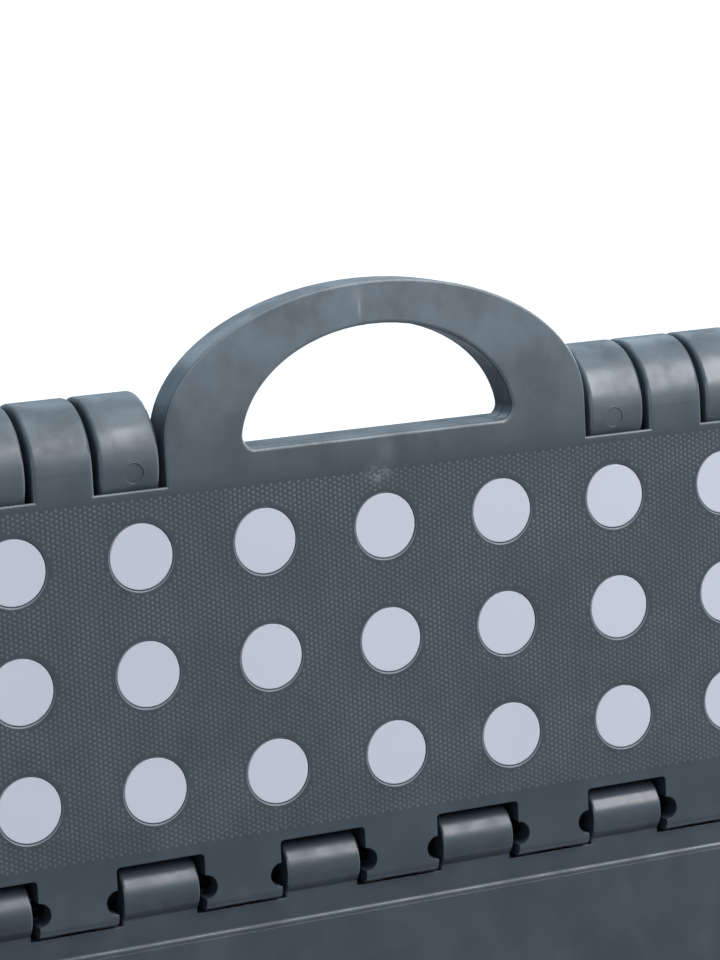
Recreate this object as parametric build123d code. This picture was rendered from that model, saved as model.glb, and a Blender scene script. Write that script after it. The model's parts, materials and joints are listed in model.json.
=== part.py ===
from build123d import *
import math
import os

# Folding step stool, modelled folded flat and standing on its feet.
# Frame: X across the stool, Y from the front board to the rear board, Z up.
# Origin: on the floor, under the middle of the folded stool. Millimetres.
# The folding mid-plane is Y = 0. The rear boards mirror the front ones in it.

# --- overall sizes ---
WIDTH = 290.0               # across the two top boards and the legs
BARREL_R = 15.2             # centre hinge knuckle, which is also half the folded depth
LEG_AXIS_Z = 213.0          # height of the leg hinges above the floor
ROW_ABOVE_LEG_AXIS = 52.4   # middle row of grip discs above the leg hinges
BARREL_ABOVE_ROW = 48.7     # centre hinge above the middle row of discs

# --- walls and clearances ---
PLATE = 2.6                 # moulded board thickness
WALL = 2.6                  # skirts around the boards
RIB = 1.8                   # stiffening ribs
MID_GAP = 0.6               # each board stops this far short of the mid-plane
SWING_GAP = 0.5             # around a turning knuckle
RUNNING = 0.05              # radial clearance of a pin in a turning bore
EDGE_R = 0.6                # softened moulded edges

# --- centre hinge ---
KNUCKLE_W = 14.9            # rear and front boards take turns, the rear one beside the handle
KNUCKLE_GAP = 1.35
NOTCH_Z = 42.9              # lower edge of the notches, above the middle row
KNUCKLE_EDGE_R = 1.1
MARK_R = 2.4                # ejector pin mark on the knuckles beside the handle
MARK_DEPTH = 0.15
MARK_INSET = 6.5            # its middle from the knuckle's inner end
MARK_ANGLE = -7.0           # above the front-most line of the knuckle, in degrees
CENTRE_ROD_R = 2.5
ROD_END = 2.6               # closed wall or setback at the rod's ends

# --- carry handle ---
HANDLE_HALF_W = 54.8
HANDLE_RISE = 32.8          # half height of the handle's oval
HANDLE_CENTRE = 53.0        # centre of that oval above the middle row
HANDLE_T = 9.3
HANDLE_SHELL = 2.8          # outer walls of the handle, whose back is cored out
HANDLE_RIBS = (-66, -44, -22, 0, 22, 44, 66)
HOLE_HALF_W = 35.3
HOLE_RISE = 25.6
HOLE_CENTRE = 49.9
HOLE_FLOOR = 49.4           # flat lower side of the finger hole, above the middle row
HOLE_CORNER_R = 3.2
SILL_DEPTH = 12.7           # ledge under the finger hole
HOLE_EDGE_R = 0.9
PARTING_LINES = (4.8, 9.3)  # fine grooves across the ledge, behind the face
PARTING_W = 0.3
PARTING_DEPTH = 0.15
HANDLE_GAP = 1.3            # between the handle and the rear board

# --- grip discs ---
DISC_R = 7.8
DISC_T = 1.6
DISC_SINK = 0.3             # the disc's face lies this far below the board's face
DISC_RIM_R = 0.3
DISC_GAP = 0.12
DISC_EDGE = 0.3             # chamfer round a disc's recess
DISC_PITCH_X = 31.0
DISC_PITCH_Z = 27.5
DISC_SEAT = 1.3             # wall behind a disc
DISC_MARGIN = 1.2           # least board left between a disc and the cut-out

# --- leg hinges ---
BOARD_BELOW_AXIS = 5.9      # lower edge of a top board under the leg hinge axis
LEG_KNUCKLE_R = 7.1
LEG_KNUCKLE_W = 19.0
LEG_NOTCH_SIDE = 1.5        # room on each side of a knuckle
LEG_NOTCH_ROOM = 1.1        # room above it
LEG_NOTCH_CORNER = 1.0
LEG_KNUCKLE_X = 20.6
LEG_KNUCKLE_PITCH = 41.4
LEG_KNUCKLES_PER_SIDE = 3
LIP_DEPTH = 1.0             # lower skirt of a top board beyond the leg hinge axis
LEG_PIN_R = 2.0
SOCKET_DEPTH = 3.1          # pin end beyond each side of the notch
SOCKET_R = 2.9              # half-round relief over the pin's end
SOCKET_FLOOR = 0.4          # the relief stops this far in front of the pin's axis
LOWER_EDGE_R = 2.4          # round along the lower edge of a top board
EAR_W = 5.2                 # wall that holds a pin's end

# --- legs ---
LEG_TOP_GAP = 0.6           # between the top board and the leg board
LEG_GROOVE = 2.2            # step back of the leg's face under the hinge
LEG_GROOVE_H = 6.0
LEG_SHELF = 11.5            # closing wall of the leg, below the hinge axis
ARCH_HALF_W = 72.0
ARCH_H = 62.0
FOOT_T = 3.0
FOOT_INSET = 2.0
FOOT_PROUD = 0.4            # rubber beyond the leg's face
FOOT_STUD_R = 2.4
FOOT_STUD_H = 4.2
CORNER_R = 6.0              # corners of the boards and legs

# --- side panels ---
SIDE_INSET = 12.0           # vertical hinge of a side panel, from the stool's side
SIDE_PLATE_GAP = 0.3        # a side panel's knuckle to the leg's face plate
PANEL_PLATE = 2.4
PANEL_BOTTOM = 10.0
PANEL_BELOW_AXIS = 27.0     # top of the side panels under the leg hinge axis
PANEL_GAP = 0.4             # folded panels to the mid-plane
PANEL_BACK = 4.0            # panel's inner side beyond its hinge pin
PANEL_ARCH_GAP = 3.4
SIDE_KNUCKLE_R = 4.2
SIDE_PIN_R = 2.0
SIDE_SETBACK = 5.6          # panel's end from a hinge pin where no knuckle is
SIDE_GAP = 1.0              # between neighbouring knuckles
LEG_EARS = 3
LEG_EAR_H = 16.0
MIDDLE_KNUCKLES = 5
MIDDLE_START = 70.0         # lowest middle knuckle

# --- worked out ---
HALF_W = WIDTH / 2
ARM = ROW_ABOVE_LEG_AXIS + BARREL_ABOVE_ROW
ROW_Z = LEG_AXIS_Z + ROW_ABOVE_LEG_AXIS
BARREL_Z = ROW_Z + BARREL_ABOVE_ROW
NOTCH_EDGE = ROW_Z + NOTCH_Z
FACE_Y = -BARREL_R
LEG_AXIS_Y = FACE_Y + LEG_KNUCKLE_R
BOARD_LOW = LEG_AXIS_Z - BOARD_BELOW_AXIS
BOARD_IN = FACE_Y + PLATE
FIRST_KNUCKLE_X = HANDLE_HALF_W + HANDLE_GAP
KNUCKLES_PER_SIDE = math.ceil((HALF_W - FIRST_KNUCKLE_X) / (KNUCKLE_W + KNUCKLE_GAP))
DISC_COLUMNS = 2 * math.floor((HALF_W - DISC_R) / DISC_PITCH_X) + 1
LEG_NOTCH_W = LEG_KNUCKLE_W + 2 * LEG_NOTCH_SIDE
LEG_NOTCH_TOP = LEG_KNUCKLE_R + LEG_NOTCH_ROOM
LEG_TOP = BOARD_LOW - LEG_TOP_GAP
PANEL_TOP = LEG_AXIS_Z - PANEL_BELOW_AXIS
SIDE_AXIS_X = HALF_W - SIDE_INSET
SIDE_AXIS_Y = BOARD_IN + SIDE_KNUCKLE_R + SIDE_PLATE_GAP
MIDDLE_X = SIDE_AXIS_X - ARM - (LEG_AXIS_Y - SIDE_AXIS_Y)
RIB_LOW = LEG_AXIS_Z + LEG_NOTCH_TOP + SWING_GAP
RIB_HIGH = BARREL_Z - BARREL_R - 2 * SWING_GAP


# --- helpers ---
def block(x, y, z):
    """A box from (low, high) pairs."""
    centre = [(pair[0] + pair[1]) / 2 for pair in (x, y, z)]
    size = [abs(pair[1] - pair[0]) for pair in (x, y, z)]
    return Pos(*centre) * Box(*size)


def rod_x(radius, x, y, z):
    """A rod along X, from x[0] to x[1]."""
    return Pos((x[0] + x[1]) / 2, y, z) * Rot(0, 90, 0) * Cylinder(radius, abs(x[1] - x[0]))


def rod_y(radius, x, y, z):
    """A rod along Y, from y[0] to y[1]."""
    return Pos(x, (y[0] + y[1]) / 2, z) * Rot(90, 0, 0) * Cylinder(radius, abs(y[1] - y[0]))


def rod_z(radius, x, y, z):
    """A rod along Z, from z[0] to z[1]."""
    return Pos(x, y, (z[0] + z[1]) / 2) * Cylinder(radius, z[1] - z[0])


def both_sides(x):
    """The span and its mirror across the stool."""
    return [(x[0], x[1]), (-x[1], -x[0])]


def through(face, y):
    """A flat outline in X and Z, drawn on Plane.XZ, made into a solid from y[0] to y[1]."""
    solid = extrude(Plane.XZ * face, amount=abs(y[1] - y[0]))
    return Pos(0, max(y), 0) * solid


def join(parts):
    """One solid from many overlapping ones."""
    parts = list(parts)
    whole = parts[0]
    for part in parts[1:]:
        whole = whole + part
    return whole


def cut_all(whole, tools):
    """Takes each tool away in turn."""
    for tool in tools:
        whole = whole - tool
    return whole


def softened(solid, axis, radius):
    """Rounds the circular end edges of a solid whose ends face along axis."""
    ends = solid.faces().sort_by(axis)
    edges = ends[0].edges() + ends[-1].edges()
    return fillet(edges, radius)


def knuckle_spans(first):
    """Spans across the stool of one board's centre hinge knuckles: first is 0 for the rear."""
    spans = []
    for index in range(first, KNUCKLES_PER_SIDE, 2):
        low = FIRST_KNUCKLE_X + index * (KNUCKLE_W + KNUCKLE_GAP)
        high = min(low + KNUCKLE_W, HALF_W)
        spans += both_sides((low, high))
    return spans


REAR_KNUCKLES = knuckle_spans(0)
FRONT_KNUCKLES = knuckle_spans(1)


def leg_knuckle_places():
    """Middles of the leg hinges across the stool."""
    places = [LEG_KNUCKLE_X + index * LEG_KNUCKLE_PITCH for index in range(LEG_KNUCKLES_PER_SIDE)]
    return places + [-place for place in places]


# --- top boards ---
def disc_places():
    """Middles of the grip discs on a board, as (x, z)."""
    columns = [(index - (DISC_COLUMNS - 1) / 2) * DISC_PITCH_X for index in range(DISC_COLUMNS)]
    rows = [ROW_Z + step * DISC_PITCH_Z for step in (-1, 0, 1)]
    return [(x, z) for z in rows for x in columns]


def oval(half_w, rise, centre):
    """The handle's oval, its centre measured above the middle row of discs."""
    return Pos(0, ROW_Z + centre) * Ellipse(half_w, rise)


def handle_outline(gap):
    """The handle seen from the front, grown by gap."""
    half_w = HANDLE_HALF_W + gap
    bottom = NOTCH_EDGE - PLATE
    middle = ROW_Z + HANDLE_CENTRE
    straight = Pos(0, (bottom + middle) / 2) * Rectangle(2 * half_w, middle - bottom)
    return straight + oval(half_w, HANDLE_RISE + gap, HANDLE_CENTRE)


def finger_hole(gap, y):
    """The finger hole as a solid, an oval with a flat floor and rounded corners, grown by gap."""
    floor_z = ROW_Z + HOLE_FLOOR - gap
    height = HOLE_RISE + gap
    upper = Pos(0, floor_z + height) * Rectangle(4 * HOLE_HALF_W, 2 * height)
    solid = through(oval(HOLE_HALF_W + gap, height, HOLE_CENTRE) & upper, y)
    corners = solid.edges().filter_by(Axis.Y).sort_by(Axis.Z)[:2]
    return fillet(corners, HOLE_CORNER_R + gap)


def handle():
    """The carry handle with its cored back, radial ribs and the ledge under the finger hole."""
    back = FACE_Y + HANDLE_T
    floor_z = ROW_Z + HOLE_FLOOR
    body = through(handle_outline(0), (FACE_Y, back))
    body = body + block((-HANDLE_HALF_W, HANDLE_HALF_W), (FACE_Y + HANDLE_T / 2, FACE_Y + SILL_DEPTH),
                        (floor_z - WALL, floor_z))
    body = body - finger_hole(0, (FACE_Y - 1, FACE_Y + SILL_DEPTH + 1))
    front = body.faces().sort_by(Axis.Y)[0]
    body = fillet(front.inner_wires()[0].edges(), HOLE_EDGE_R)
    front = body.faces().sort_by(Axis.Y)[0]
    rim = front.outer_wire().edges().filter_by(lambda edge: edge.center().Z > NOTCH_EDGE + PLATE)
    body = fillet(rim, EDGE_R)
    core = through(handle_outline(-HANDLE_SHELL), (BOARD_IN, back + 1))
    core = core - finger_hole(HANDLE_SHELL, (BOARD_IN - 1, back + 2))
    core = core & block((-WIDTH, WIDTH), (BOARD_IN, back + 1), (BARREL_Z + PLATE, BARREL_Z + WIDTH))
    spokes = join(
        Pos(0, 0, ROW_Z + HOLE_CENTRE) * Rot(0, angle, 0)
        * block((-RIB / 2, RIB / 2), (BOARD_IN, back), (0, 2 * HANDLE_HALF_W))
        for angle in HANDLE_RIBS)
    body = body - (core - spokes)
    for line in PARTING_LINES:
        y = FACE_Y + line
        body = body - block((-HOLE_HALF_W, HOLE_HALF_W), (y - PARTING_W / 2, y + PARTING_W / 2),
                            (floor_z - PARTING_DEPTH, floor_z + WALL))
    rail = block((-HANDLE_HALF_W, HANDLE_HALF_W), (BOARD_IN - 1, FACE_Y + SILL_DEPTH),
                 (RIB_HIGH - RIB, RIB_HIGH))
    return body + rail


def tray(z, inner_z, corners, edge_r):
    """A shallow open-backed tray as wide as the stool, with soft front edges."""
    solid = block((-HALF_W, HALF_W), (FACE_Y, -MID_GAP), z)
    solid = fillet(solid.edges().filter_by(Axis.Y).sort_by(Axis.Z)[corners], CORNER_R)
    front = solid.faces().sort_by(Axis.Y)[0].edges().sort_by(Axis.Z)
    if edge_r > EDGE_R:
        solid = fillet(front[:-1], edge_r)
        front = solid.faces().sort_by(Axis.Y)[0].edges().sort_by(Axis.Z)[-1:]
    solid = fillet(front, EDGE_R)
    return solid - block((-HALF_W + WALL, HALF_W - WALL), (BOARD_IN, 1), inner_z)


def notch_outline(place):
    """The opening for a leg knuckle with its two half-round reliefs, in X and Z."""
    top = LEG_AXIS_Z + LEG_NOTCH_TOP
    bottom = BOARD_LOW - 1
    outline = Pos(place, (top + bottom) / 2) * Rectangle(LEG_NOTCH_W, top - bottom)
    outline = fillet(outline.vertices().sort_by(Axis.Y)[-2:], LEG_NOTCH_CORNER)
    for side in (-1, 1):
        outline = outline + Pos(place + side * LEG_NOTCH_W / 2, LEG_AXIS_Z) * Circle(SOCKET_R)
    return outline


def board_plate():
    """The walking plate with its skirts, leg hinge notches and square ribs behind."""
    solid = tray((BOARD_LOW, NOTCH_EDGE), (BOARD_LOW + WALL, NOTCH_EDGE + 1), slice(0, 2), LOWER_EDGE_R)
    solid = solid - block((-HALF_W - 1, HALF_W + 1), (LEG_AXIS_Y + LIP_DEPTH, 1),
                          (BOARD_LOW - 1, LEG_AXIS_Z + MID_GAP))
    for place in leg_knuckle_places():
        solid = solid - through(notch_outline(place), (FACE_Y - 1, 0))
    parts = [solid]
    for index in range(DISC_COLUMNS + 1):
        x = (index - DISC_COLUMNS / 2) * DISC_PITCH_X
        if abs(x) < HALF_W - WALL:
            parts.append(block((x - RIB / 2, x + RIB / 2), (BOARD_IN - 1, -MID_GAP - 1),
                               (RIB_LOW, RIB_HIGH)))
    for z in (RIB_LOW, ROW_Z - DISC_PITCH_Z / 2, ROW_Z + DISC_PITCH_Z / 2, RIB_HIGH - RIB):
        parts.append(block((-HALF_W + 1, HALF_W - 1), (BOARD_IN - 1, -MID_GAP - 1), (z, z + RIB)))
    return join(parts)


def pin_ears():
    """Walls beside each leg hinge notch, which hold the ends of the leg hinge pins."""
    ears = []
    for place in leg_knuckle_places():
        for side in (-1, 1):
            inner = place + side * LEG_NOTCH_W / 2
            x = sorted((inner, inner + side * EAR_W))
            ears.append(block(x, (BOARD_IN - 1, LEG_AXIS_Y), (BOARD_LOW, RIB_LOW + RIB)))
            ears.append(rod_x(BOARD_BELOW_AXIS, x, LEG_AXIS_Y, LEG_AXIS_Z))
            ears.append(block(x, (LEG_AXIS_Y - 1, LEG_AXIS_Y + BOARD_BELOW_AXIS),
                              (LEG_AXIS_Z, RIB_LOW + RIB)))
    return ears


def leg_notches():
    """Room in the ears for the leg knuckles, with reliefs over the pins' ends."""
    tools = []
    top = LEG_AXIS_Z + LEG_NOTCH_TOP
    reach = LEG_NOTCH_W / 2 + SOCKET_DEPTH
    for place in leg_knuckle_places():
        tools.append(block((place - LEG_NOTCH_W / 2, place + LEG_NOTCH_W / 2), (BOARD_IN, 0),
                           (BOARD_LOW - 1, top)))
        tools.append(rod_x(LEG_PIN_R + RUNNING, (place - reach, place + reach), LEG_AXIS_Y, LEG_AXIS_Z))
        for side in (-1, 1):
            relief = rod_y(SOCKET_R, place + side * LEG_NOTCH_W / 2,
                           (BOARD_IN - 2, LEG_AXIS_Y - SOCKET_FLOOR), LEG_AXIS_Z)
            tools.append(relief)
    return tools


def knuckle(x):
    """One centre hinge knuckle, running tangent into the board's face."""
    barrel = softened(rod_x(BARREL_R, x, 0, BARREL_Z), Axis.X, KNUCKLE_EDGE_R)
    foot = block(x, (FACE_Y, -MID_GAP), (RIB_HIGH - RIB, BARREL_Z))
    long_edges = foot.edges().filter_by(Axis.Z).sort_by(Axis.Y)[:2]
    return barrel + fillet(long_edges, KNUCKLE_EDGE_R)


def knuckle_room(x):
    """Room for a knuckle of the other board, as a notch and a round clearance behind it."""
    wide = (x[0] - KNUCKLE_GAP, x[1] + KNUCKLE_GAP)
    notch = block(wide, (FACE_Y - 1, BARREL_R + 1), (NOTCH_EDGE, BARREL_Z + BARREL_R + 1))
    return notch + rod_x(BARREL_R + SWING_GAP, wide, 0, BARREL_Z)


def disc_seats(places):
    """Bosses behind the discs and the recesses that they sit in."""
    bosses = []
    pockets = []
    depth = DISC_SINK + DISC_T
    for x, z in places:
        bosses.append(rod_y(DISC_R + DISC_GAP + WALL / 2, x, (BOARD_IN - 1, FACE_Y + depth + DISC_SEAT), z))
        pocket = rod_y(DISC_R + DISC_GAP, x, (FACE_Y, FACE_Y + depth), z)
        flare = Pos(x, FACE_Y + DISC_EDGE / 2, z) * Rot(90, 0, 0) * Cone(
            DISC_R + DISC_GAP, DISC_R + DISC_GAP + DISC_EDGE, DISC_EDGE)
        pockets.append(pocket + flare)
    return bosses, pockets


def discs(places):
    """Flat grip discs with a small rounded rim."""
    shapes = []
    for x, z in places:
        disc = rod_y(DISC_R, x, (FACE_Y + DISC_SINK, FACE_Y + DISC_SINK + DISC_T), z)
        rim = disc.faces().sort_by(Axis.Y)[0].edges()
        shapes.append(fillet(rim, DISC_RIM_R))
    return shapes


def board(own, other, places, extra, cuts):
    """One top board in front position, with its own knuckles and room for the other's."""
    bosses, pockets = disc_seats(places)
    solid = cut_all(join([board_plate()] + pin_ears()), leg_notches())
    solid = cut_all(join([solid] + bosses), [knuckle_room(x) for x in other])
    solid = join([solid] + [knuckle(x) for x in own])
    for part in extra:
        solid = solid + part
    return cut_all(solid, pockets + cuts)


def centre_bore(x, radius):
    """A hole along the centre hinge."""
    return rod_x(radius, x, 0, BARREL_Z)


def rod_span():
    """The right-hand centre rod, from the knuckle beside the handle to the board's side."""
    return (FIRST_KNUCKLE_X + ROD_END, HALF_W - ROD_END)


def top_front():
    bores = [centre_bore(x, CENTRE_ROD_R) for x in both_sides(rod_span())]
    return board(FRONT_KNUCKLES, REAR_KNUCKLES, disc_places(), [handle()], bores)


def flipped_oval(half_w, rise):
    """The handle's oval turned over the centre hinge, where it lies in the rear board."""
    centre = 2 * BARREL_ABOVE_ROW - HANDLE_CENTRE
    return oval(half_w, rise, centre)


def cut_out_outline(gap):
    """The rear board's cut-out that takes the handle when the stool is open."""
    half_w = HANDLE_HALF_W + gap
    low = ROW_Z + 2 * BARREL_ABOVE_ROW - HANDLE_CENTRE
    high = BARREL_Z + BARREL_R + 1
    straight = Pos(0, (low + high) / 2) * Rectangle(2 * half_w, high - low)
    return straight + flipped_oval(half_w, HANDLE_RISE + gap)


def rear_disc_places():
    """Discs of the rear board that stay clear of the cut-out."""
    room = DISC_R + DISC_GAP + DISC_MARGIN
    outline = cut_out_outline(HANDLE_GAP)
    kept = []
    for x, z in disc_places():
        seat = Pos(x, z) * Circle(room)
        overlap = seat & outline
        if not overlap or overlap.area < 1e-6:
            kept.append((x, z))
    return kept


def marks():
    """Shallow round ejector pin marks on the rear board's knuckles beside the handle."""
    skin = rod_x(BARREL_R + 1, (-HALF_W, HALF_W), 0, BARREL_Z)
    skin = skin - rod_x(BARREL_R - MARK_DEPTH, (-HALF_W - 1, HALF_W + 1), 0, BARREL_Z)
    x = FIRST_KNUCKLE_X + MARK_INSET
    pins = [Pos(side * x, 0, BARREL_Z) * Rot(MARK_ANGLE, 0, 0)
            * rod_y(MARK_R, 0, (BARREL_R - 2, BARREL_R + 2), 0) for side in (-1, 1)]
    return [pin & skin for pin in pins]


def top_rear():
    wall = through(cut_out_outline(HANDLE_GAP + WALL), (FACE_Y, -MID_GAP))
    wall = wall & block((-HALF_W, HALF_W), (FACE_Y, 0), (BOARD_LOW, NOTCH_EDGE))
    cut_out = through(cut_out_outline(HANDLE_GAP), (FACE_Y - 1, 1))
    bores = [centre_bore(x, CENTRE_ROD_R + RUNNING) for x in both_sides(rod_span())]
    solid = board(REAR_KNUCKLES, FRONT_KNUCKLES, rear_disc_places(), [], [])
    wall = cut_all(wall, [knuckle_room(x) for x in FRONT_KNUCKLES] + disc_seats(rear_disc_places())[1])
    return cut_all(solid + wall, [cut_out] + bores + marks()).mirror(Plane.XZ)


# --- legs ---
def arch(gap):
    """The arch between the feet, grown by gap."""
    return Ellipse(ARCH_HALF_W + gap, ARCH_H + gap)


def leg_ear_spans():
    """Heights of a leg's ears on a side hinge, spread over the side panel."""
    low = PANEL_BOTTOM + SIDE_GAP
    step = (PANEL_TOP - SIDE_GAP - LEG_EAR_H - low) / (LEG_EARS - 1)
    return [(low + index * step, low + index * step + LEG_EAR_H) for index in range(LEG_EARS)]


def leg_knuckle(place):
    """A leg hinge knuckle and its shank, which runs flush with the leg's face."""
    x = (place - LEG_KNUCKLE_W / 2, place + LEG_KNUCKLE_W / 2)
    barrel = softened(rod_x(LEG_KNUCKLE_R, x, LEG_AXIS_Y, LEG_AXIS_Z), Axis.X, EDGE_R)
    shank = block(x, (FACE_Y + LEG_GROOVE, FACE_Y + 2 * LEG_KNUCKLE_R),
                  (LEG_AXIS_Z - LEG_SHELF - WALL, LEG_AXIS_Z))
    upright = shank.edges().filter_by(Axis.Z)
    return barrel + fillet(upright, EDGE_R)


def leg():
    """A leg board with skirts, arch, feet pockets, hinge knuckles and side ears."""
    shelf = LEG_AXIS_Z - LEG_SHELF
    inner = (BOARD_IN - 1, -MID_GAP)
    body = tray((FOOT_T, LEG_TOP), (FOOT_T + WALL, shelf - WALL), slice(-2, None), EDGE_R)
    body = body - block((-HALF_W - 1, HALF_W + 1), (BOARD_IN + LEG_GROOVE, 1), (shelf, LEG_AXIS_Z))
    step = block((-HALF_W - 1, HALF_W + 1), (FACE_Y - 1, FACE_Y + LEG_GROOVE),
                 (LEG_TOP - LEG_GROOVE_H, LEG_TOP + 1))
    inner_edge = step.edges().filter_by(Axis.X).sort_by(Axis.Z)[:2].sort_by(Axis.Y)[-1]
    body = body - fillet(inner_edge, LEG_GROOVE / 2)
    body = body + (through(arch(WALL), inner) & block((-WIDTH, WIDTH), inner, (FOOT_T, LEG_AXIS_Z)))
    body = body - through(arch(0), (FACE_Y - 1, 1))
    rim = body.faces().sort_by(Axis.Y)[0].edges().filter_by(lambda edge: edge.center().Z < ARCH_H + 1)
    rim = rim.filter_by(lambda edge: abs(edge.center().X) < ARCH_HALF_W / 2)
    parts = [fillet(rim, EDGE_R)]
    middle = MIDDLE_X - SIDE_KNUCKLE_R - 2 * SIDE_GAP
    for x in (-middle + RIB, 0, middle - RIB):
        parts.append(block((x - RIB / 2, x + RIB / 2), inner, (ARCH_H, shelf - WALL)))
    for place in leg_knuckle_places():
        parts.append(leg_knuckle(place))
    for side in (-1, 1):
        for span in leg_ear_spans():
            x = side * SIDE_AXIS_X
            web = (x - SIDE_KNUCKLE_R, x + SIDE_KNUCKLE_R)
            parts.append(rod_z(SIDE_KNUCKLE_R, x, SIDE_AXIS_Y, span))
            parts.append(block(web, (BOARD_IN - 1, SIDE_AXIS_Y), span))
    reach = LEG_KNUCKLE_W / 2 + 1
    cuts = [rod_x(LEG_PIN_R, (place - reach, place + reach), LEG_AXIS_Y, LEG_AXIS_Z)
            for place in leg_knuckle_places()]
    for side in (-1, 1):
        cuts.append(rod_z(SIDE_PIN_R, side * SIDE_AXIS_X, SIDE_AXIS_Y, side_pin_span()))
        for x in foot_studs(side):
            cuts.append(rod_z(FOOT_STUD_R, x, foot_middle(), (0, FOOT_T + WALL + 1)))
    return cut_all(join(parts), cuts)


def leg_pins():
    """Steel pins of one row of leg hinges."""
    reach = LEG_NOTCH_W / 2 + SOCKET_DEPTH - RUNNING
    return [rod_x(LEG_PIN_R, (place - reach, place + reach), LEG_AXIS_Y, LEG_AXIS_Z)
            for place in leg_knuckle_places()]


# --- feet ---
def foot_span():
    """A foot across the stool, from beside the arch to beside the skirt."""
    return (ARCH_HALF_W + 2 * FOOT_INSET, HALF_W - FOOT_INSET)


def foot_middle():
    return (FACE_Y - MID_GAP) / 2


def foot_studs(side):
    """Places across the stool of the two studs that plug a foot into the leg."""
    low, high = foot_span()
    quarter = (high - low) / 4
    return [side * (low + quarter), side * (high - quarter)]


def foot(side):
    """A rubber foot with two studs."""
    low, high = foot_span()
    x = sorted((side * low, side * high))
    depth = (FACE_Y - FOOT_PROUD, -MID_GAP - FOOT_INSET / 2)
    pad = block(x, depth, (0, FOOT_T))
    pad = fillet(pad.edges().filter_by(Axis.Z), FOOT_INSET)
    pad = fillet(pad.faces().sort_by(Axis.Z)[0].edges(), EDGE_R)
    studs = [rod_z(FOOT_STUD_R, place, foot_middle(), (FOOT_T - 1, FOOT_T + FOOT_STUD_H))
             for place in foot_studs(side)]
    return join([pad] + studs)


# --- side panels, drawn on the right-hand side ---
def side_pin_span():
    """Height span of the pins between a leg and its side panels."""
    return (PANEL_BOTTOM + 2 * SIDE_GAP, PANEL_TOP - 2 * SIDE_GAP)


def panel_knuckle_spans():
    """Heights of a side panel's knuckles, between the leg's ears."""
    ears = leg_ear_spans()
    return [(ears[index][1] + SIDE_GAP, ears[index + 1][0] - SIDE_GAP) for index in range(LEG_EARS - 1)]


def middle_spans(first):
    """Heights of one panel's knuckles on the middle hinge: first is 0 for the front panel."""
    height = (PANEL_TOP - SIDE_GAP - MIDDLE_START) / MIDDLE_KNUCKLES
    return [(MIDDLE_START + index * height, MIDDLE_START + (index + 1) * height - SIDE_GAP)
            for index in range(first, MIDDLE_KNUCKLES, 2)]


def middle_pin_span():
    return (MIDDLE_START + SIDE_GAP, PANEL_TOP - 3 * SIDE_GAP)


def side_panel(own_middle, middle_bore, leg_bore):
    """A side panel in front position: plate, rim, ribs and the knuckles of both hinges."""
    near = MIDDLE_X + SIDE_SETBACK
    far = SIDE_AXIS_X - SIDE_SETBACK
    outer = (-PANEL_GAP - PANEL_PLATE, -PANEL_GAP)
    deep = (SIDE_AXIS_Y - PANEL_BACK + SIDE_GAP, -PANEL_GAP)
    height = (PANEL_BOTTOM, PANEL_TOP)
    parts = [block((near, far), outer, height)]
    parts += [block(x, deep, height) for x in ((near, near + WALL), (far - WALL, far))]
    parts += [block((near, far), deep, z) for z in ((PANEL_TOP - WALL, PANEL_TOP),
                                                    (PANEL_BOTTOM, PANEL_BOTTOM + WALL))]
    rim = through(arch(PANEL_ARCH_GAP + WALL), deep)
    parts.append(rim & block((near, far), deep, height))
    steps = 4
    for index in range(1, steps):
        z = PANEL_BOTTOM + (PANEL_TOP - PANEL_BOTTOM) * index / steps
        parts.append(block((near, far), deep, (z - RIB / 2, z + RIB / 2)))
    x = (near + far) / 2
    parts.append(block((x - RIB / 2, x + RIB / 2), deep, height))
    solid = join(parts) - through(arch(PANEL_ARCH_GAP), (FACE_Y, 1))
    for span in panel_knuckle_spans():
        solid = solid + rod_z(SIDE_KNUCKLE_R, SIDE_AXIS_X, SIDE_AXIS_Y, span)
        solid = solid + block((far - WALL, SIDE_AXIS_X), (SIDE_AXIS_Y, SIDE_AXIS_Y + SIDE_KNUCKLE_R), span)
    for span in own_middle:
        solid = solid + rod_z(SIDE_KNUCKLE_R, MIDDLE_X, 0, span)
        solid = solid + block((MIDDLE_X, near + WALL), (-SIDE_KNUCKLE_R, -PANEL_GAP), span)
    solid = solid - rod_z(leg_bore, SIDE_AXIS_X, SIDE_AXIS_Y, side_pin_span())
    return solid - rod_z(middle_bore, MIDDLE_X, 0, middle_pin_span())


# --- output ---
def save(name, shape):
    """Writes one sub-part; a list stays a group of separate solids."""
    if isinstance(shape, list):
        shape = Compound(children=shape)
    export_step(shape, "parts/" + name + ".step")
    print(name, round(shape.volume / 1000, 1), "cm3")


os.makedirs("parts", exist_ok=True)

save("top_front", top_front())
save("top_rear", top_rear())
save("grip_discs_front", discs(disc_places()))
save("grip_discs_rear", [disc.mirror(Plane.XZ) for disc in discs(rear_disc_places())])

for name, x in zip(("centre_rod_right", "centre_rod_left"), both_sides(rod_span())):
    save(name, rod_x(CENTRE_ROD_R, x, 0, BARREL_Z))

front = leg()
save("front_leg", front)
save("rear_leg", front.mirror(Plane.XZ))
save("front_leg_hinge_pins", leg_pins())
save("rear_leg_hinge_pins", [pin.mirror(Plane.XZ) for pin in leg_pins()])

front_panel = side_panel(middle_spans(0), SIDE_PIN_R, SIDE_PIN_R + RUNNING)
rear_panel = side_panel(middle_spans(1), SIDE_PIN_R + RUNNING, SIDE_PIN_R + RUNNING)
rear_panel = rear_panel.mirror(Plane.XZ)
save("right_front_panel", front_panel)
save("right_rear_panel", rear_panel)
save("left_front_panel", front_panel.mirror(Plane.YZ))
save("left_rear_panel", rear_panel.mirror(Plane.YZ))

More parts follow.
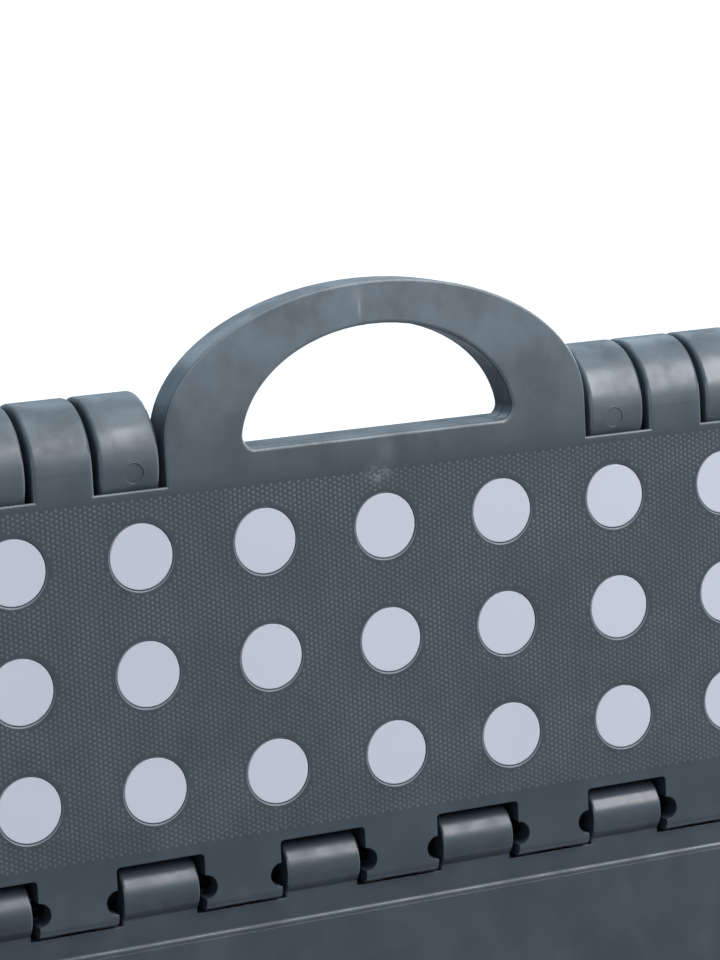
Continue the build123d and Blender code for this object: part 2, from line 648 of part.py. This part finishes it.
for side, hand in ((1, "right"), (-1, "left")):
    save("front_foot_" + hand, foot(side))
    save("rear_foot_" + hand, foot(side).mirror(Plane.XZ))
    pin = rod_z(SIDE_PIN_R, side * SIDE_AXIS_X, SIDE_AXIS_Y, side_pin_span())
    save("front_side_pin_" + hand, pin)
    save("rear_side_pin_" + hand, pin.mirror(Plane.XZ))
    save("middle_pin_" + hand, rod_z(SIDE_PIN_R, side * MIDDLE_X, 0, middle_pin_span()))
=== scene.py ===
# %% [markdown]
# A folding step stool, folded flat and standing up, seen close to its carry handle.
# The hard parts are exact moulded shapes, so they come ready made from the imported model.
# This lesson adds what a mould and a camera add: light, finishes, the raised dots that
# keep feet from slipping, and the small marks that the moulding leaves behind.

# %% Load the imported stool
import json
import math
import bpy
from mathutils import Matrix, Vector


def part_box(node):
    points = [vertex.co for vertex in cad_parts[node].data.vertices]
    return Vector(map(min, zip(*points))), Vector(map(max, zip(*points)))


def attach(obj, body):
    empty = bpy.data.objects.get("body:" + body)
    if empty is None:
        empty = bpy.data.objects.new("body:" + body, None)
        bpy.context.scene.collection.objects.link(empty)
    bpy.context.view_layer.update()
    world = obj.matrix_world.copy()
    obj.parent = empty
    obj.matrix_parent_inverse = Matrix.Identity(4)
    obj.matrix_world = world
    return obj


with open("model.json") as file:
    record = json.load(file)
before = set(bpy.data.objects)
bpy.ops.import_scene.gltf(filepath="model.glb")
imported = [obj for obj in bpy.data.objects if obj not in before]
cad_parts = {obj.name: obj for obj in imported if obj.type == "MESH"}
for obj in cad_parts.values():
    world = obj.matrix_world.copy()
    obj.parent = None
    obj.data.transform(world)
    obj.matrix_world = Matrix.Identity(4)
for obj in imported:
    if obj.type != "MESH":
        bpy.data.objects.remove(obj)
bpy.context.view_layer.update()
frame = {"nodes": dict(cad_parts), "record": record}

MM = 0.001

# %% [markdown]
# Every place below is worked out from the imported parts, as a fitter would find it with a
# rule. The front board's discs give the middle row and the distance between discs, the
# board itself gives its face and its width, and a hinge rod gives the centre hinge.

# %% Read the places from the parts
disc_low, disc_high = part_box("grip_discs_front")
rod_low, rod_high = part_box("centre_rod_right")
half_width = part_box("top_front")[1].x

DISC_COLUMNS = 9
DISC_ROWS = 3
DISC_R = 7.8 * MM
pitch_x = (disc_high.x - disc_low.x - 2 * DISC_R) / (DISC_COLUMNS - 1)
pitch_z = (disc_high.z - disc_low.z - 2 * DISC_R) / (DISC_ROWS - 1)
row_z = (disc_low.z + disc_high.z) / 2
hinge_z = (rod_low.z + rod_high.z) / 2
face_y = min(vertex.co.y for vertex in frame["nodes"]["top_front"].data.vertices)
print("disc pitch", round(pitch_x, 4), round(pitch_z, 4), "middle row", round(row_z, 4))
print("face", round(face_y, 5), "centre hinge", round(hinge_z, 4))

# %% [markdown]
# A long lens from the left and a little above keeps the rows of discs almost parallel.
# The camera is placed the way a photographer thinks: a point to aim at, a distance, an
# angle round the stool, an angle above it and a slight tilt of the camera body.

# %% Camera
AIM = Vector((-6.1 * MM, face_y, hinge_z - 9.6 * MM))
DISTANCE = 811.7 * MM
AZIMUTH = math.radians(24.68)
ELEVATION = math.radians(8.79)
TILT = math.radians(-2.97)
SENSOR = 36.0
FOCAL_LENGTH = 129.5
NEAREST = 0.01

camera_data = bpy.data.cameras.new("camera")
camera = bpy.data.objects.new("camera", camera_data)
bpy.context.scene.collection.objects.link(camera)
camera_data.sensor_fit = "VERTICAL"
camera_data.sensor_height = SENSOR
camera_data.lens = FOCAL_LENGTH
look = Vector((math.sin(AZIMUTH) * math.cos(ELEVATION),
               math.cos(AZIMUTH) * math.cos(ELEVATION),
               -math.sin(ELEVATION)))
turn = look.to_track_quat("-Z", "Y").to_matrix() @ Matrix.Rotation(TILT, 3, "Z")
camera.matrix_world = Matrix.Translation(AIM - DISTANCE * look) @ turn.to_4x4()
camera_data.clip_start = NEAREST
bpy.context.scene.camera = camera
print("camera at", tuple(round(value, 3) for value in camera.location))

# %% [markdown]
# The stool stands on white paper that glows a little, as paper lit from below does, so it
# stays white to the horizon. Paper that bright would also wash out the stool's undersides,
# so the glow is there only for rays that come straight from the lens. All other rays meet
# a dull grey floor.

# %% Floor
FLOOR_REACH = 30.0
FLOOR_GLOW = 0.75
FLOOR_WHITE = (0.9, 0.9, 0.9, 1)
FLOOR_BOUNCE = (0.22, 0.22, 0.23, 1)
FLOOR_ROUGHNESS = 0.9


def seen_directly(tree):
    """1 where the lens sees the stage itself, 0 where the stage only lights the stool."""
    return tree.nodes.new("ShaderNodeLightPath").outputs["Is Camera Ray"]


def floor_paper():
    """Glowing white paper that throws only a little light back up at the stool."""
    material = bpy.data.materials.new("floor_paper")
    material.use_nodes = True
    tree = material.node_tree
    shader = tree.nodes["Principled BSDF"]
    shader.inputs["Roughness"].default_value = FLOOR_ROUGHNESS
    shader.inputs["Specular IOR Level"].default_value = 0.0
    shader.inputs["Emission Color"].default_value = (1, 1, 1, 1)
    direct = seen_directly(tree)
    colour = tree.nodes.new("ShaderNodeMix")
    colour.data_type = "RGBA"
    colour.inputs["A"].default_value = FLOOR_BOUNCE
    colour.inputs["B"].default_value = FLOOR_WHITE
    tree.links.new(direct, colour.inputs["Factor"])
    tree.links.new(colour.outputs["Result"], shader.inputs["Base Color"])
    glow = tree.nodes.new("ShaderNodeMath")
    glow.operation = "MULTIPLY"
    glow.inputs[1].default_value = FLOOR_GLOW
    tree.links.new(direct, glow.inputs[0])
    tree.links.new(glow.outputs["Value"], shader.inputs["Emission Strength"])
    return material


def plain_floor():
    """A wide white floor at the stool's feet."""
    mesh = bpy.data.meshes.new("floor")
    corners = [(x * FLOOR_REACH, y * FLOOR_REACH, 0) for x, y in ((-1, -1), (1, -1), (1, 1), (-1, 1))]
    mesh.from_pydata(corners, [], [(0, 1, 2, 3)])
    floor = bpy.data.objects.new("floor", mesh)
    bpy.context.scene.collection.objects.link(floor)
    mesh.materials.append(floor_paper())
    return floor


print(plain_floor().name, "reaches", FLOOR_REACH, "m each way")

# %% [markdown]
# A faint blue sky fills in around the panels, so the knuckles' crowns and the handle's
# sides turn cooler. Behind the stool the lens sees plain white paper instead, by the same
# trick as on the floor. The standard view keeps the plastic's colours as they are.

# %% Sky
SKY_BLUE = (0.64, 0.83, 1.0, 1)
SKY_STRENGTH = 0.54
BACKDROP_WHITE = (1, 1, 1, 1)
BACKDROP_STRENGTH = 1.05


def studio_sky():
    """A dim blue sky that lights the stool, and plain white paper behind it for the lens."""
    world = bpy.data.worlds.new("studio")
    world.use_nodes = True
    tree = world.node_tree
    sky = tree.nodes["Background"]
    sky.inputs["Color"].default_value = SKY_BLUE
    sky.inputs["Strength"].default_value = SKY_STRENGTH
    paper = tree.nodes.new("ShaderNodeBackground")
    paper.inputs["Color"].default_value = BACKDROP_WHITE
    paper.inputs["Strength"].default_value = BACKDROP_STRENGTH
    choice = tree.nodes.new("ShaderNodeMixShader")
    tree.links.new(seen_directly(tree), choice.inputs["Fac"])
    tree.links.new(sky.outputs["Background"], choice.inputs[1])
    tree.links.new(paper.outputs["Background"], choice.inputs[2])
    tree.links.new(choice.outputs["Shader"], tree.nodes["World Output"].inputs["Surface"])
    return world


bpy.context.scene.world = studio_sky()
bpy.context.scene.view_settings.view_transform = "Standard"
print("sky:", bpy.context.scene.world.name)

# %% [markdown]
# Grey plastic only looks like plastic when it has something soft and bright to reflect.
# One very large key panel above and in front gives the round knuckles their pale band,
# and its upper edge is what makes that band stop short of their crowns. A small panel
# overhead and a cool one behind trace the upper edges. A low one behind, to the right,
# lights the rear boards and stays out of the knuckles' reflections.

# %% Studio panels
PANEL_DISTANCE = 1.4
PANELS = (  # name, azimuth, elevation, width, height, watts, colour
    ("key_panel", 40, 37, 1.0, 0.95, 23.0, (1.0, 0.985, 0.975)),
    ("top_panel", 60, 80, 0.8, 0.8, 3.0, (1, 1, 1)),
    ("back_panel", 165, 40, 1.2, 0.8, 3.0, (0.75, 0.89, 1.0)),
    ("rear_fill", 120, 5, 0.8, 0.7, 14.0, (0.92, 0.96, 1.0)),
)
middle = Vector((0, 0, row_z))


def around(azimuth, elevation):
    """A panel's place: azimuth 0 is straight in front of the stool, positive to the right."""
    side, up = math.radians(azimuth), math.radians(elevation)
    across, ahead = math.sin(side) * math.cos(up), -math.cos(side) * math.cos(up)
    return middle + PANEL_DISTANCE * Vector((across, ahead, math.sin(up)))


def soft_panel(name, azimuth, elevation, width, height, power, colour):
    """A rectangular studio light that faces the middle of the top."""
    data = bpy.data.lights.new(name, "AREA")
    data.shape = "RECTANGLE"
    data.size = width
    data.size_y = height
    data.energy = power
    data.color = colour
    panel = bpy.data.objects.new(name, data)
    bpy.context.scene.collection.objects.link(panel)
    place = around(azimuth, elevation)
    turn = (middle - place).to_track_quat("-Z", "Y").to_matrix()
    panel.matrix_world = Matrix.Translation(place) @ turn.to_4x4()
    return panel


print("lights:", [soft_panel(*panel).name for panel in PANELS])

# %% [markdown]
# All the boards are injection-moulded polypropylene. Its colour is even but never quite
# flat: pigment clouds it, the mould's polish varies from place to place, and thick ribs
# behind the face pull it in by a hair. A painted picture would need unwrapping and would
# blur up close, while nodes can follow all of that with noise that is fixed to the part.
# These helpers keep each finish to a few short lines.


# %% Helpers for finishes
def finish_named(name):
    """A new material with its shader, ready for nodes."""
    material = bpy.data.materials.new(name)
    material.use_nodes = True
    tree = material.node_tree
    return material, tree, tree.nodes["Principled BSDF"]


def place_of(tree):
    """Where a point lies on its part, in metres."""
    return tree.nodes.new("ShaderNodeTexCoord").outputs["Object"]


def split(tree, vector):
    """The X, Y and Z of a vector."""
    node = tree.nodes.new("ShaderNodeSeparateXYZ")
    tree.links.new(vector, node.inputs["Vector"])
    return node.outputs["X"], node.outputs["Y"], node.outputs["Z"]


def stretched(tree, place, stretch):
    """The same place with each axis stretched, so that noise turns into streaks."""
    node = tree.nodes.new("ShaderNodeMapping")
    node.inputs["Scale"].default_value = stretch
    tree.links.new(place, node.inputs["Vector"])
    return node.outputs["Vector"]


def noise(tree, place, scale, detail=3.0, roughness=0.5):
    """Soft random clouds that stay fixed to the part; scale is in clouds per metre."""
    node = tree.nodes.new("ShaderNodeTexNoise")
    node.inputs["Scale"].default_value = scale
    node.inputs["Detail"].default_value = detail
    node.inputs["Roughness"].default_value = roughness
    tree.links.new(place, node.inputs["Vector"])
    return node.outputs["Fac"]


def spread(tree, value, low, high, from_low=0.3, from_high=0.7):
    """Maps a value's usual span onto low to high."""
    node = tree.nodes.new("ShaderNodeMapRange")
    node.inputs["From Min"].default_value = from_low
    node.inputs["From Max"].default_value = from_high
    node.inputs["To Min"].default_value = low
    node.inputs["To Max"].default_value = high
    tree.links.new(value, node.inputs["Value"])
    return node.outputs["Result"]


print("helpers made: place_of, split, stretched, noise, spread")

# %% [markdown]
# A few more helpers join those values: sums, blends of colour and stacked bumps. The bumps
# lie over a bevel node, which rounds every sharp edge by a hair's breadth, because a real
# moulding has no edge without a highlight.


# %% Helpers for sums, colours and bumps
BEVEL_SAMPLES = 4
EDGE_ROUND = 0.35 * MM


def maths(tree, operation, first, second=0.0):
    """One sum of two values, each a number or a socket."""
    node = tree.nodes.new("ShaderNodeMath")
    node.operation = operation
    for socket, value in zip(node.inputs, (first, second)):
        if isinstance(value, (int, float)):
            socket.default_value = value
        else:
            tree.links.new(value, socket)
    return node.outputs["Value"]


def blend_colours(tree, amount, first, second):
    """Goes from one colour to another as amount goes from 0 to 1."""
    node = tree.nodes.new("ShaderNodeMix")
    node.data_type = "RGBA"
    for socket, colour in (("A", first), ("B", second)):
        if isinstance(colour, tuple):
            node.inputs[socket].default_value = (*colour, 1)
        else:
            tree.links.new(colour, node.inputs[socket])
    tree.links.new(amount, node.inputs["Factor"])
    return node.outputs["Result"]


def bumps(tree, heights, edge=EDGE_ROUND):
    """Stacks (height, distance, strength) bumps over a bevel that rounds sharp edges."""
    bevel = tree.nodes.new("ShaderNodeBevel")
    bevel.samples = BEVEL_SAMPLES
    bevel.inputs["Radius"].default_value = edge
    normal = bevel.outputs["Normal"]
    for height, distance, strength in heights:
        node = tree.nodes.new("ShaderNodeBump")
        node.inputs["Distance"].default_value = distance
        node.inputs["Strength"].default_value = strength
        tree.links.new(height, node.inputs["Height"])
        tree.links.new(normal, node.inputs["Normal"])
        normal = node.outputs["Normal"]
    return normal


print("helpers made: maths, blend_colours, bumps; edges rounded by", EDGE_ROUND)

# %% [markdown]
# Two marks tell where the plastic met itself in the mould. At the top of the handle the
# two streams join in a weld line, a pale soft streak with a sharp tail. Above the middle
# disc the gate left a pale smear. Each is a soft spot in the colour: a bell-shaped falloff
# across it and another along it, both measured from the part's own middle.

# %% Pale marks of the moulding
MARKS = {  # millimetres right of the middle, above the hinge, half width, half height; then paleness
    "weld": (-4.4, 34.0, 1.3, 3.0, 0.42),
    "weld tail": (-4.0, 30.6, 0.35, 2.2, 0.8),
    "gate": (-1.3, -8.6, 2.8, 2.0, 0.5),
    "above the gate": (1.0, -3.4, 2.4, 3.4, 0.18),
}
GATE_GRAIN = 900.0
MARK_DEPTH = 1.0 * MM


def bell(tree, value, middle_at, half_width_at):
    """1 at middle_at, falling smoothly to 0 over about twice half_width_at."""
    offset = maths(tree, "DIVIDE", maths(tree, "SUBTRACT", value, middle_at), half_width_at)
    square = maths(tree, "MULTIPLY", offset, offset)
    return maths(tree, "POWER", math.e, maths(tree, "MULTIPLY", square, -1.0))


def mark(tree, x, z, name):
    """One soft oval mark, as pale as its last value says."""
    right, above, across, along, paleness = MARKS[name]
    over_x = bell(tree, x, right * MM, across * MM)
    over_z = bell(tree, z, hinge_z + above * MM, along * MM)
    return maths(tree, "MULTIPLY", maths(tree, "MULTIPLY", over_x, over_z), paleness)


def moulding_marks(tree, place):
    """How much paler the plastic is, from 0 to 1, at the weld line and the gate."""
    x, y, z = split(tree, place)
    ragged = spread(tree, noise(tree, place, GATE_GRAIN, 4.0, 0.7), 0.1, 1.0, 0.42, 0.58)
    gate = maths(tree, "MULTIPLY", mark(tree, x, z, "gate"), ragged)
    total = gate
    for name in ("weld", "weld tail", "above the gate"):
        total = maths(tree, "ADD", total, mark(tree, x, z, name))
    on_face = maths(tree, "LESS_THAN", y, face_y + MARK_DEPTH)
    return maths(tree, "MINIMUM", maths(tree, "MULTIPLY", total, on_face), 1.0)


print("marks:", list(MARKS))

# %% [markdown]
# Two painted highlights come next. The handle is painted paler towards its top, more in
# some places than in others, and the small rounds along the outer edges are painted paler
# where they would catch light. A round shows itself by its normal, which points neither
# straight out of the board nor along it, so no edge has to be drawn by hand.

# %% Painted highlights on the handle and its edges
TONE_SPAN = (0.41, 0.59)
HIGHLIGHT_START = -7.4 * MM
HIGHLIGHT_FULL = 33.0 * MM
HIGHLIGHT_CURVE = 0.65
HIGHLIGHT_UNEVEN = (0.46, 1.0)
EDGE_BAND = 0.8 * MM
EDGE_HIGHLIGHT = 0.55
EDGE_FACING = 0.72
EDGE_SPREAD = 0.14


def painted_handle_highlight(tree, place, tone):
    """Painted highlight: from 0 on the boards to its most at the top of the handle, which is painted
    paler.
    """
    height = spread(tree, split(tree, place)[2], 0, 1, hinge_z + HIGHLIGHT_START, hinge_z + HIGHLIGHT_FULL)
    uneven = spread(tree, tone, *HIGHLIGHT_UNEVEN, *TONE_SPAN)
    return maths(tree, "MULTIPLY", maths(tree, "POWER", height, HIGHLIGHT_CURVE), uneven)


def painted_edge_highlight(tree, place):
    """Painted highlight: how much paler the small rounds along the outer faces' edges are painted."""
    depth = maths(tree, "ABSOLUTE", split(tree, place)[1])
    near_face = maths(tree, "GREATER_THAN", depth, abs(face_y) - EDGE_BAND)
    normal = tree.nodes.new("ShaderNodeTexCoord").outputs["Normal"]
    facing = maths(tree, "ABSOLUTE", split(tree, normal)[1])
    on_round = bell(tree, facing, EDGE_FACING, EDGE_SPREAD)
    return maths(tree, "MULTIPLY", maths(tree, "MULTIPLY", near_face, on_round), EDGE_HIGHLIGHT)


print("rubbed from", round(hinge_z + HIGHLIGHT_START, 4), "to", round(hinge_z + HIGHLIGHT_FULL, 4))

# %% [markdown]
# The slate plastic itself. Two sizes of soft cloud lighten and darken it, and the same
# clouds move its gloss between satin and dull. A fine grain breaks the highlights, as a
# lightly blasted mould does.

# %% Moulded slate polypropylene
SLATE_DARK = (0.039, 0.052, 0.061)
SLATE_LIGHT = (0.057, 0.073, 0.084)
# Pale colour of the weld and gate marks, also used for the painted highlight on the edge rounds.
SLATE_PALE = (0.26, 0.29, 0.31)
# Colour of the painted highlight towards the top of the handle.
SLATE_HANDLE_HIGHLIGHT = (0.172, 0.203, 0.227)
SLATE_GLOSS = (0.25, 0.48)
PLASTIC_IOR = 1.49
CLOUD_SCALE = 58.0
FLOW_SCALE = 125.0
GRAIN_SCALE = 5200.0
CLOUD_SHARE = 0.6
SINK_DEPTH = 0.3 * MM
GRAIN_DEPTH = 0.01 * MM
BUMP_STRENGTH = 0.3


def moulded_plastic(name, dark, light, gloss):
    """The finish of the boards; gloss is the (smallest, largest) roughness."""
    material, tree, shader = finish_named(name)
    place = place_of(tree)
    clouds = noise(tree, stretched(tree, place, (1.0, 1.0, 1.1)), CLOUD_SCALE, 3.0, 0.55)
    flow = noise(tree, stretched(tree, place, (1.0, 1.0, 0.7)), FLOW_SCALE, 4.0, 0.6)
    grain = noise(tree, place, GRAIN_SCALE, 2.0, 0.5)
    tone = maths(tree, "ADD", maths(tree, "MULTIPLY", clouds, CLOUD_SHARE),
                 maths(tree, "MULTIPLY", flow, 1 - CLOUD_SHARE))
    colour = blend_colours(tree, spread(tree, tone, 0, 1, *TONE_SPAN), dark, light)
    # Painted highlight: the colour grows paler towards the top of the handle.
    colour = blend_colours(tree, painted_handle_highlight(tree, place, tone), colour, SLATE_HANDLE_HIGHLIGHT)
    # Painted highlight on the edge rounds, joined with the weld and gate marks, which are the
    # plastic's own.
    pale = maths(tree, "MAXIMUM", moulding_marks(tree, place), painted_edge_highlight(tree, place))
    colour = blend_colours(tree, pale, colour, SLATE_PALE)
    tree.links.new(colour, shader.inputs["Base Color"])
    tree.links.new(spread(tree, tone, gloss[1], gloss[0], *TONE_SPAN), shader.inputs["Roughness"])
    shader.inputs["IOR"].default_value = PLASTIC_IOR
    heights = [(clouds, SINK_DEPTH, BUMP_STRENGTH), (grain, GRAIN_DEPTH, BUMP_STRENGTH)]
    tree.links.new(bumps(tree, heights), shader.inputs["Normal"])
    return material


slate = moulded_plastic("slate_polypropylene", SLATE_DARK, SLATE_LIGHT, SLATE_GLOSS)
print("finish:", slate.name, "with", len(slate.node_tree.nodes), "nodes")

# %% [markdown]
# The discs are a softer, pale plastic pressed into the recesses. Their skin is matt, with
# hardly any texture, and a faint lavender tint that drifts a little from disc to disc.

# %% Grip discs
GRIP_DARK = (0.545, 0.557, 0.624)
GRIP_LIGHT = (0.572, 0.584, 0.650)
GRIP_EDGE_ROUND = 0.2 * MM


def grip_rubber():
    """Soft pale lavender-grey discs with a matt skin."""
    material, tree, shader = finish_named("grip_rubber")
    place = place_of(tree)
    drift = noise(tree, place, 18.0, 2.0)
    grain = noise(tree, place, 3000.0, 3.0, 0.6)
    colour = blend_colours(tree, spread(tree, drift, 0, 1), GRIP_DARK, GRIP_LIGHT)
    tree.links.new(colour, shader.inputs["Base Color"])
    tree.links.new(spread(tree, grain, 0.6, 0.75), shader.inputs["Roughness"])
    shader.inputs["Specular IOR Level"].default_value = 0.35
    tree.links.new(bumps(tree, [(grain, 0.02 * MM, 0.25)], GRIP_EDGE_ROUND), shader.inputs["Normal"])
    return material


grip = grip_rubber()
print("finish:", grip.name)

# %% [markdown]
# Feet and pins are small, but they are what shows from below and behind. The feet are
# dusty dark rubber. The side hinge pins are drawn steel, with fine lines along the rod,
# and the leg hinge pins are blackened, so their ends vanish in the notches.

# %% Feet and pins
FOOT_DARK = (0.018, 0.019, 0.021)
FOOT_DUSTY = (0.035, 0.037, 0.040)


def foot_rubber():
    """Dark rubber of the feet."""
    material, tree, shader = finish_named("foot_rubber")
    dust = noise(tree, place_of(tree), 240.0, 5.0, 0.6)
    colour = blend_colours(tree, spread(tree, dust, 0, 1), FOOT_DARK, FOOT_DUSTY)
    tree.links.new(colour, shader.inputs["Base Color"])
    tree.links.new(spread(tree, dust, 0.6, 0.85), shader.inputs["Roughness"])
    tree.links.new(bumps(tree, [(dust, 0.05 * MM, 0.3)]), shader.inputs["Normal"])
    return material


def steel(name, dark, light, gloss):
    """Steel rod with fine lines; gloss is the (smallest, largest) roughness."""
    material, tree, shader = finish_named(name)
    lines = noise(tree, stretched(tree, place_of(tree), (0.1, 1.0, 0.1)), 2600.0, 4.0, 0.6)
    colour = blend_colours(tree, spread(tree, lines, 0, 1), dark, light)
    tree.links.new(colour, shader.inputs["Base Color"])
    tree.links.new(spread(tree, lines, *gloss), shader.inputs["Roughness"])
    tree.links.new(bumps(tree, [(lines, 0.01 * MM, 0.2)]), shader.inputs["Normal"])
    shader.inputs["Metallic"].default_value = 1.0
    return material


drawn_steel = steel("drawn_steel", (0.42, 0.43, 0.44), (0.60, 0.61, 0.62), (0.22, 0.4))
blackened_steel = steel("blackened_steel", (0.012, 0.012, 0.013), (0.024, 0.024, 0.026), (0.45, 0.6))
print("finishes:", drawn_steel.name, blackened_steel.name)

# %% [markdown]
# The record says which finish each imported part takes, so the loop reads its slots and
# hands out the materials. The parts keep their shapes and places.

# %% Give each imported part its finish
FINISHES = {
    "shell": slate,
    "grip": grip,
    "foot": foot_rubber(),
    "pin": drawn_steel,
    "dark_pin": blackened_steel,
}
slot_of = {entry["node"]: entry["material_slot"] for entry in frame["record"]["subparts"]}
for node_name, node in frame["nodes"].items():
    node.data.materials.clear()
    node.data.materials.append(FINISHES[slot_of[node_name]])
print("finishes:", sorted(material.name for material in FINISHES.values()))

# %% [markdown]
# The tread is a field of small raised dots in staggered columns, about a millimetre and
# a quarter apart. A bump texture would fade at grazing angles and would be lost in the
# exported mesh, so each dot is real: a low eight-sided cone, a seventh of a millimetre
# tall, all in one mesh for a board. Dots stop short of the discs' rims, and the field
# has straight upper and lower borders.

# %% Places of the dots
DOT_R = 0.50 * MM
DOT_HEIGHT = 0.15 * MM
DOT_SUNK = 0.03 * MM
DOT_SIDES = 8
COLUMN_STEP = 1.156 * MM
DOT_STEP = 1.229 * MM
FIELD_LOW = hinge_z - 90.6 * MM
FIELD_HIGH = hinge_z - 7.5 * MM
FIELD_HALF_WIDTH = half_width - 3.0 * MM
DISC_CLEAR = DISC_R + 1.15 * MM


def near_disc(x, z):
    """True where a dot would touch a disc's smooth rim."""
    column = round(x / pitch_x)
    row = round((z - row_z) / pitch_z)
    if abs(column) > DISC_COLUMNS // 2 or abs(row) > DISC_ROWS // 2:
        return False
    return math.hypot(x - column * pitch_x, z - row_z - row * pitch_z) < DISC_CLEAR


def dot_places():
    """Staggered dot middles over a whole field, apart from the discs."""
    places = []
    columns = int(FIELD_HALF_WIDTH / COLUMN_STEP)
    rows = int((FIELD_HIGH - FIELD_LOW - DOT_STEP) / DOT_STEP)
    for column in range(-columns, columns + 1):
        stagger = DOT_STEP / 2 * (column % 2)
        for row in range(rows + 1):
            x = column * COLUMN_STEP
            z = FIELD_LOW + DOT_STEP / 2 + row * DOT_STEP + stagger
            if z < FIELD_HIGH and not near_disc(x, z):
                places.append((x, z))
    return places


whole_field = dot_places()
print("dots in a whole field:", len(whole_field))

# %% [markdown]
# The front field is whole. The rear board has a cut-out that takes the handle, an oval
# whose middle is the handle's, turned over the centre hinge. The dots leave out the oval
# and a smooth margin around it. The three discs that the oval swallows lie well inside it,
# so no gap in the dots shows where they would be.

# %% Places of the rear board's dots
CUT_OUT_BELOW_HINGE = 4.3 * MM
CUT_OUT_HALF_WIDTH = 56.1 * MM
CUT_OUT_RISE = 34.1 * MM
CUT_OUT_MARGIN = 3.2 * MM
cut_out_z = hinge_z - CUT_OUT_BELOW_HINGE


def in_cut_out(x, z):
    """True inside the rear board's cut-out or its smooth margin."""
    across = x / (CUT_OUT_HALF_WIDTH + CUT_OUT_MARGIN)
    down = (z - cut_out_z) / (CUT_OUT_RISE + CUT_OUT_MARGIN)
    return across ** 2 + down ** 2 < 1


rear_field = [place for place in whole_field if not in_cut_out(*place)]
print("cut-out middle at", round(cut_out_z, 4), "dots left:", len(rear_field))

# %% [markdown]
# Each dot is a ring of eight corners, sunk a little into the board so that no gap shows,
# and one tip. Smooth shading turns the cone into a soft dome. The dots take a lighter mix
# of the same plastic, a painted highlight for the light their tips catch. The mesh rides
# on its board, so it turns with it when the stool opens.

# %% Build the dots
# A lighter copy of the slate for the dots: a painted highlight.
DOTS_DARK = (0.068, 0.084, 0.094)
DOTS_LIGHT = (0.097, 0.115, 0.126)
DOTS_GLOSS = (0.34, 0.46)


def tread_dots(name, places, front, body):
    """One mesh of low cones on a board's face; front is -1 for the front board, 1 for the rear."""
    surface = front * abs(face_y)
    base_y = surface - front * DOT_SUNK
    tip_y = surface + front * DOT_HEIGHT
    corners, faces = [], []
    for x, z in places:
        start = len(corners)
        for side in range(DOT_SIDES):
            angle = 2 * math.pi * side / DOT_SIDES
            corners.append((x + DOT_R * math.cos(angle), base_y, z + DOT_R * math.sin(angle)))
        corners.append((x, tip_y, z))
        for side in range(DOT_SIDES):
            edge = (start + side, start + (side + 1) % DOT_SIDES)
            faces.append((*edge[::-front], start + DOT_SIDES))
    mesh = bpy.data.meshes.new(name)
    mesh.from_pydata(corners, [], faces)
    mesh.shade_smooth()
    piece = bpy.data.objects.new(name, mesh)
    bpy.context.scene.collection.objects.link(piece)
    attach(piece, body)
    print(name, len(places), "dots,", len(faces), "triangles")
    return piece


dot_highlight_plastic = moulded_plastic("slate_dots_painted_highlight", DOTS_DARK, DOTS_LIGHT, DOTS_GLOSS)
front_dots = tread_dots("tread_dots_front", whole_field, -1, "top_front")
rear_dots = tread_dots("tread_dots_rear", rear_field, 1, "top_rear")
for piece in (front_dots, rear_dots):
    piece.data.materials.append(dot_highlight_plastic)

# %% [markdown]
# Ejector pins push a moulding out and leave round marks. One sits low on each knuckle
# beside the handle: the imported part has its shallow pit, and the pit's raised rim is
# added here as a thin ring that follows the round of the knuckle.

# %% Rims of the ejector pin marks
MARK_X = 62.6 * MM
MARK_ANGLE = math.radians(-7.0)
RIM_INNER = 2.4 * MM
RIM_OUTER = 2.75 * MM
RIM_HEIGHT = 0.07 * MM
RIM_STEPS = 48
RIM_PROFILE = (  # radius and lift of the inner foot, the crest and the outer foot
    (RIM_INNER, -RIM_HEIGHT),
    ((RIM_INNER + RIM_OUTER) / 2, RIM_HEIGHT),
    (RIM_OUTER, -RIM_HEIGHT),
)
knuckle_radius = abs(face_y)
mark_height = knuckle_radius * MARK_ANGLE


def on_knuckle(x, height, lift):
    """A point on the front of a knuckle, height above the middle of its face, lifted off it."""
    angle = height / knuckle_radius
    reach = knuckle_radius + lift
    return (x, -reach * math.cos(angle), hinge_z + reach * math.sin(angle))


def pin_mark_rims():
    """Two thin rings with a rounded top, one on each side of the handle."""
    corners, faces = [], []
    for side in (-1, 1):
        start = len(corners)
        for step in range(RIM_STEPS):
            angle = 2 * math.pi * step / RIM_STEPS
            for radius, lift in RIM_PROFILE:
                x = side * MARK_X + radius * math.cos(angle)
                corners.append(on_knuckle(x, mark_height + radius * math.sin(angle), lift))
        for step in range(RIM_STEPS):
            here, there = start + 3 * step, start + 3 * ((step + 1) % RIM_STEPS)
            for band in range(2):
                faces.append((here + band, here + band + 1, there + band + 1, there + band))
    mesh = bpy.data.meshes.new("pin_mark_rims")
    mesh.from_pydata(corners, [], faces)
    mesh.shade_smooth()
    # The rim takes the dots' lighter plastic, a painted highlight.
    mesh.materials.append(dot_highlight_plastic)
    piece = bpy.data.objects.new("pin_mark_rims", mesh)
    bpy.context.scene.collection.objects.link(piece)
    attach(piece, "top_rear")
    return piece


print(pin_mark_rims().name, "made,", len(RIM_PROFILE) * RIM_STEPS, "corners in each ring")
